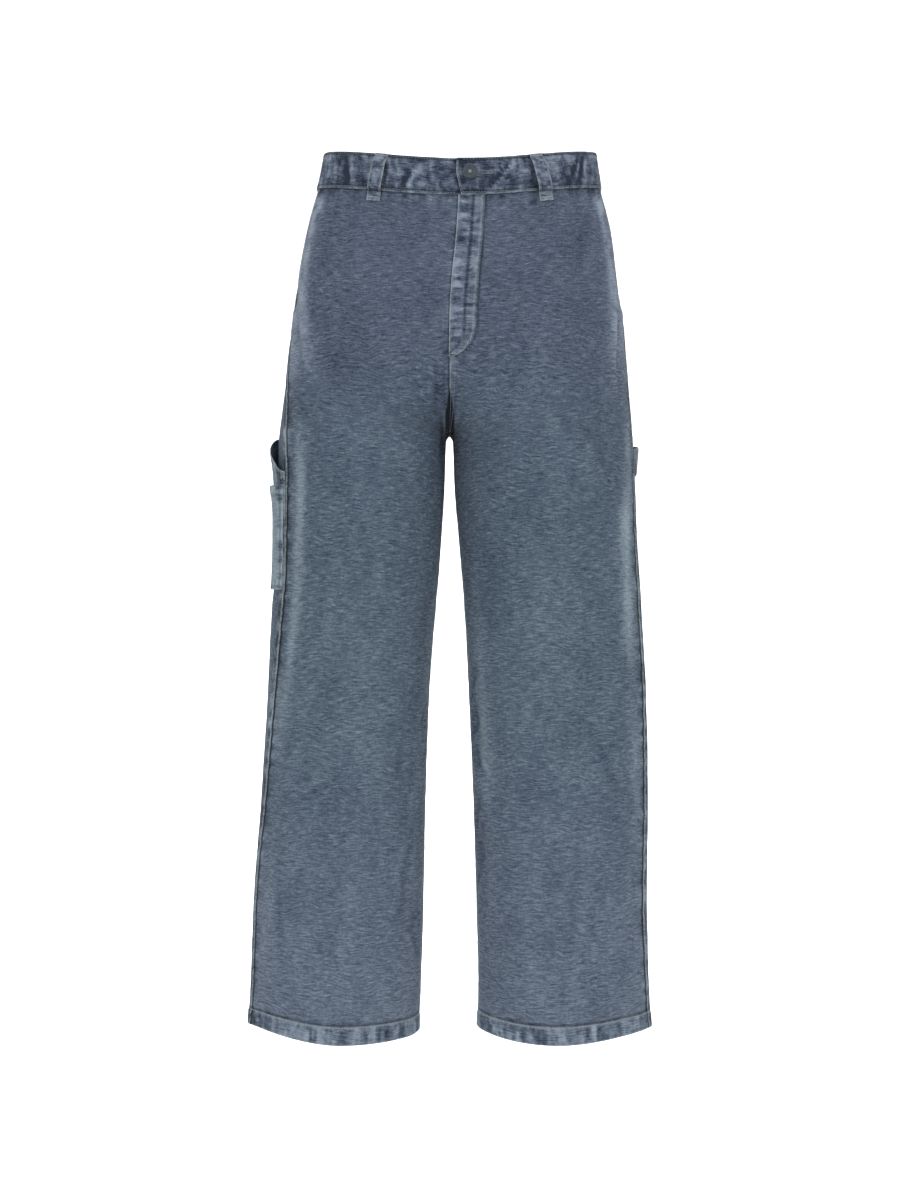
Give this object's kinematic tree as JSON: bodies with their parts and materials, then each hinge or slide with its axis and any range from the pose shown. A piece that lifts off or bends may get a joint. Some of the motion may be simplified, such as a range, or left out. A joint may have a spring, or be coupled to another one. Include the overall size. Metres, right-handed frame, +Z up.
{
  "type": "carpenter pants",
  "caption": "Wide carpenter pants in washed canvas, filled out as worn, with a fly, slant pockets, a tool pocket and a hammer loop.",
  "frame": {"origin": "middle of the waistband ring, half way down the band at the wearer's side", "axes": "+Z up the body, -Y the way the wearer faces, +X the wearer's left"},
  "size_m": [0.4629, 0.2734, 1.0265],
  "materials": {
    "canvas": "washed slate blue cotton canvas with a crosswise slub",
    "canvas_band": "washed slate blue cotton canvas, faded and puckered along the stitching",
    "canvas_trim": "washed slate blue cotton canvas, rubbed pale at its folded edges",
    "canvas_inside": "unfaded slate blue cotton canvas",
    "button": "dark teal grey, satin"
  },
  "bodies": {
    "root": {"front_right": "canvas", "front_left": "canvas", "back_right": "canvas", "back_left": "canvas", "waistband": "canvas_band", "fly": "canvas_trim", "button": "button", "pocket_facing_right": "canvas_inside", "pocket_facing_left": "canvas_inside", "belt_loop_front_right": "canvas_trim", "belt_loop_front_left": "canvas_trim", "belt_loop_side_right": "canvas_trim", "belt_loop_side_left": "canvas_trim", "belt_loop_back": "canvas_trim", "tool_pocket": "canvas_trim", "tool_slot": "canvas_trim", "hammer_loop": "canvas_trim"}
  },
  "joints": []
}
